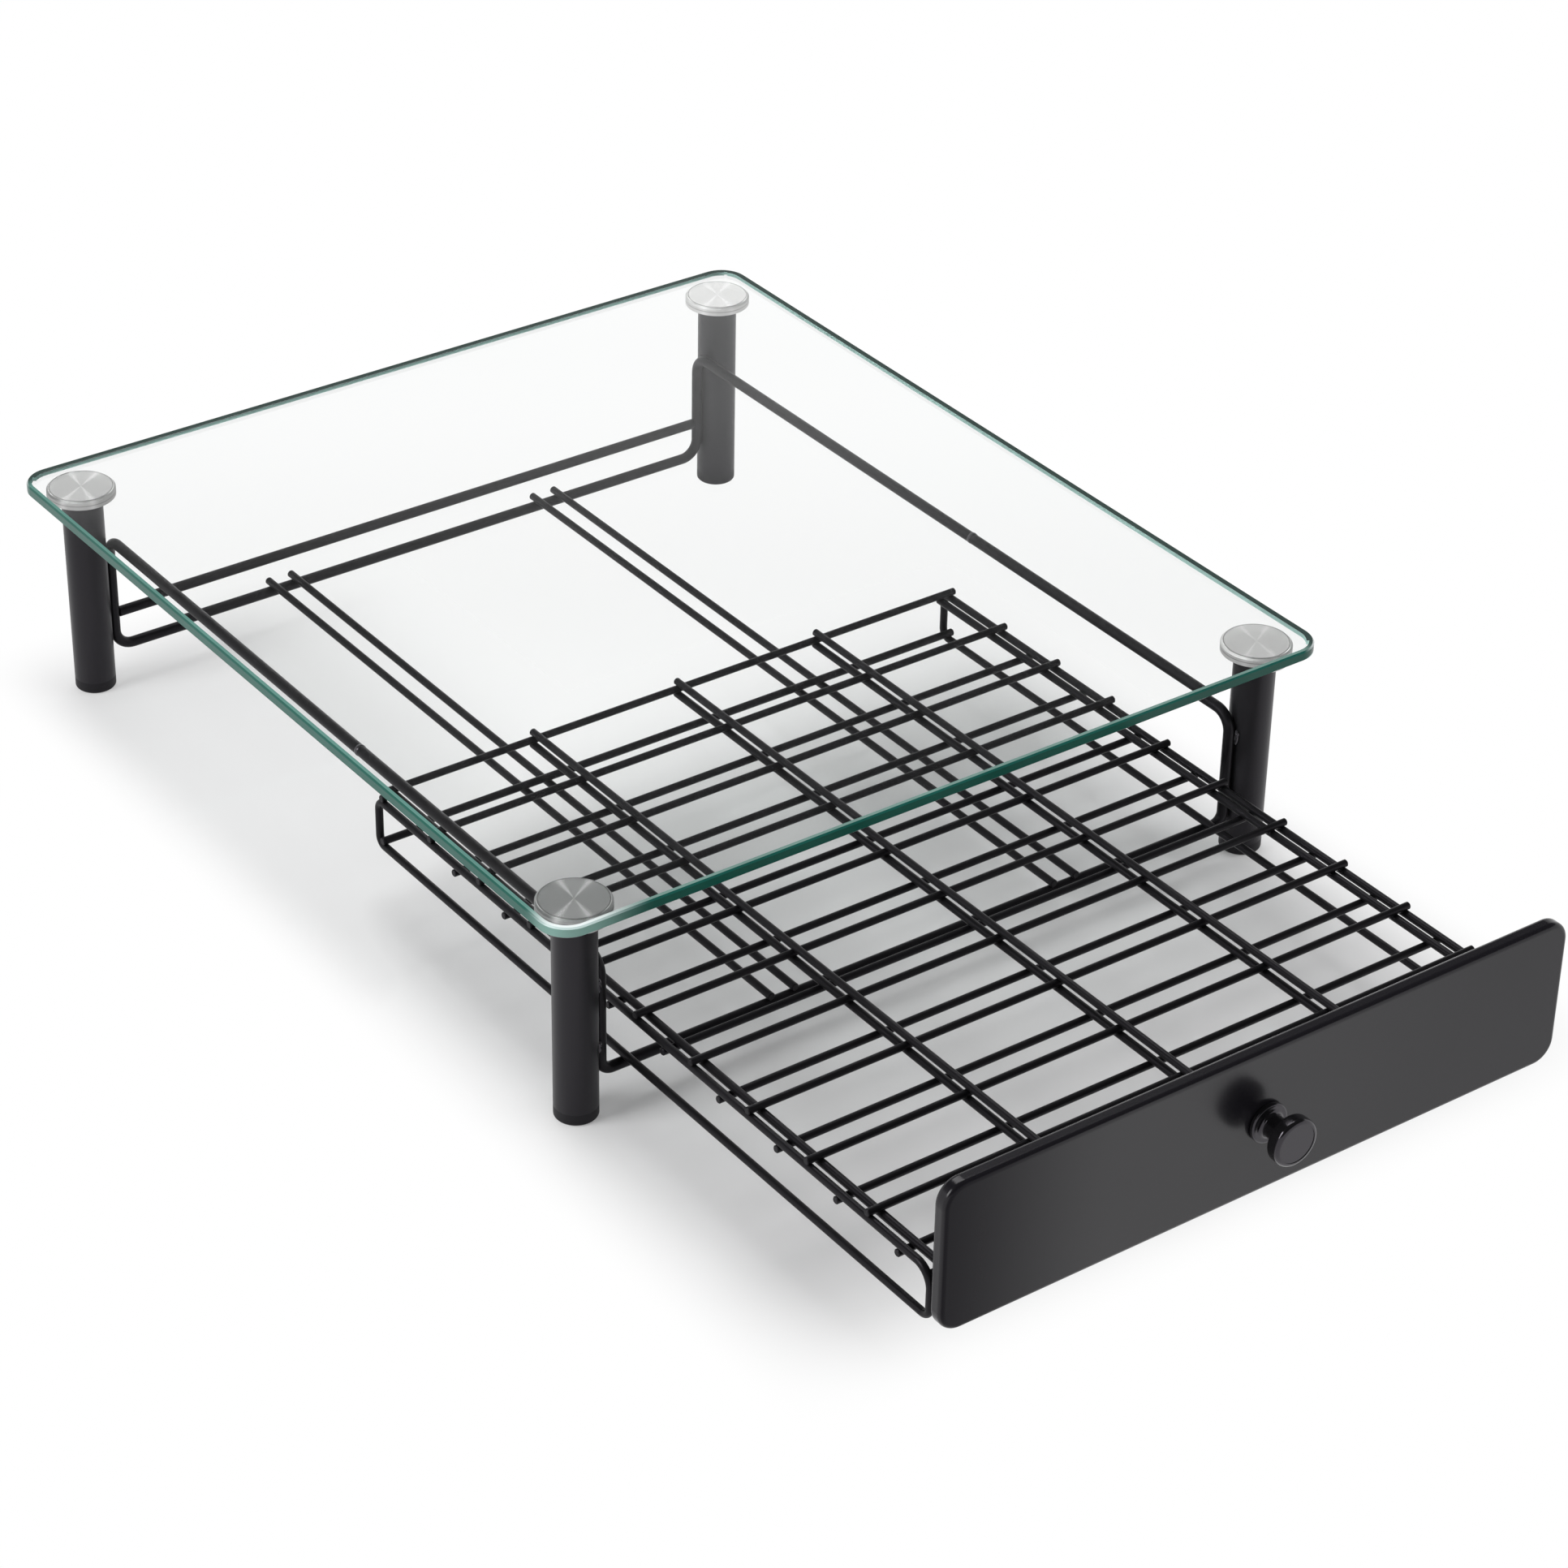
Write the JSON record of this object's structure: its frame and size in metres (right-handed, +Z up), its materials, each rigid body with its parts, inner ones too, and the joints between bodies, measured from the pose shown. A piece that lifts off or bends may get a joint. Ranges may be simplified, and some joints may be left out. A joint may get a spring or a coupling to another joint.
{
  "type": "coffee pod drawer",
  "caption": "Low glass-topped stand on tube legs with a sliding wire basket drawer for coffee pods, a flat front panel and a round knob.",
  "frame": {"origin": "on the counter, under the middle of the whole object with the drawer drawn as at rest", "axes": "+Z up, +X to the right seen from the front, -Y out of the front, the way the drawer opens"},
  "size_m": [0.357, 0.5954, 0.0964],
  "materials": {
    "glass": "clear tempered glass, green in its ground edges",
    "disc": "fine spun, satin",
    "leg": "satin black powder coat",
    "cap": "satin black",
    "frame_wire": "satin black powder coat",
    "basket_wire": "satin black powder coat",
    "panel": "matte charcoal",
    "knob": "satin black",
    "fastener": "zinc plated"
  },
  "bodies": {
    "stand": {"glass_top": "glass", "glass_disc_rear_left": "disc", "glass_disc_rear_right": "disc", "glass_disc_front_left": "disc", "glass_disc_front_right": "disc", "disc_studs": "fastener", "leg_rear_left": "leg", "leg_rear_right": "leg", "leg_front_left": "leg", "leg_front_right": "leg", "leg_inserts": "cap", "foot_cap_rear_left": "cap", "foot_cap_rear_right": "cap", "foot_cap_front_left": "cap", "foot_cap_front_right": "cap", "frame_hoop_rear": "frame_wire", "frame_hoop_front": "frame_wire", "rear_stop_wire": "frame_wire", "runner_left_outer": "frame_wire", "runner_left_inner": "frame_wire", "runner_right_inner": "frame_wire", "runner_right_outer": "frame_wire"},
    "drawer": {"side_loop_left": "basket_wire", "side_loop_right": "basket_wire", "row_wire_1": "basket_wire", "row_wire_2": "basket_wire", "row_wire_3": "basket_wire", "row_wire_4": "basket_wire", "row_wire_5": "basket_wire", "row_wire_6": "basket_wire", "row_wire_7": "basket_wire", "row_wire_8": "basket_wire", "row_wire_9": "basket_wire", "row_wire_10": "basket_wire", "rest_wire_1": "basket_wire", "rest_wire_2": "basket_wire", "rest_wire_3": "basket_wire", "rest_wire_4": "basket_wire", "rest_wire_5": "basket_wire", "rest_wire_6": "basket_wire", "rest_wire_7": "basket_wire", "rest_wire_8": "basket_wire", "rest_wire_9": "basket_wire", "upper_divider_left": "basket_wire", "upper_divider_middle": "basket_wire", "upper_divider_right": "basket_wire", "lower_divider_left": "basket_wire", "lower_divider_middle": "basket_wire", "lower_divider_right": "basket_wire", "edge_wire_left": "basket_wire", "edge_wire_right": "basket_wire", "front_cross_wire": "basket_wire", "rear_bottom_wire": "basket_wire", "side_lugs": "basket_wire", "cross_lugs": "basket_wire", "panel_screws": "fastener", "front_panel": "panel", "knob": "knob", "knob_screw": "fastener"}
  },
  "joints": [
    {"name": "drawer_slide", "type": "slide", "parent": "stand", "child": "drawer", "axis": [0, -1, 0], "range_m": [-0.1854, 0.15]}
  ]
}
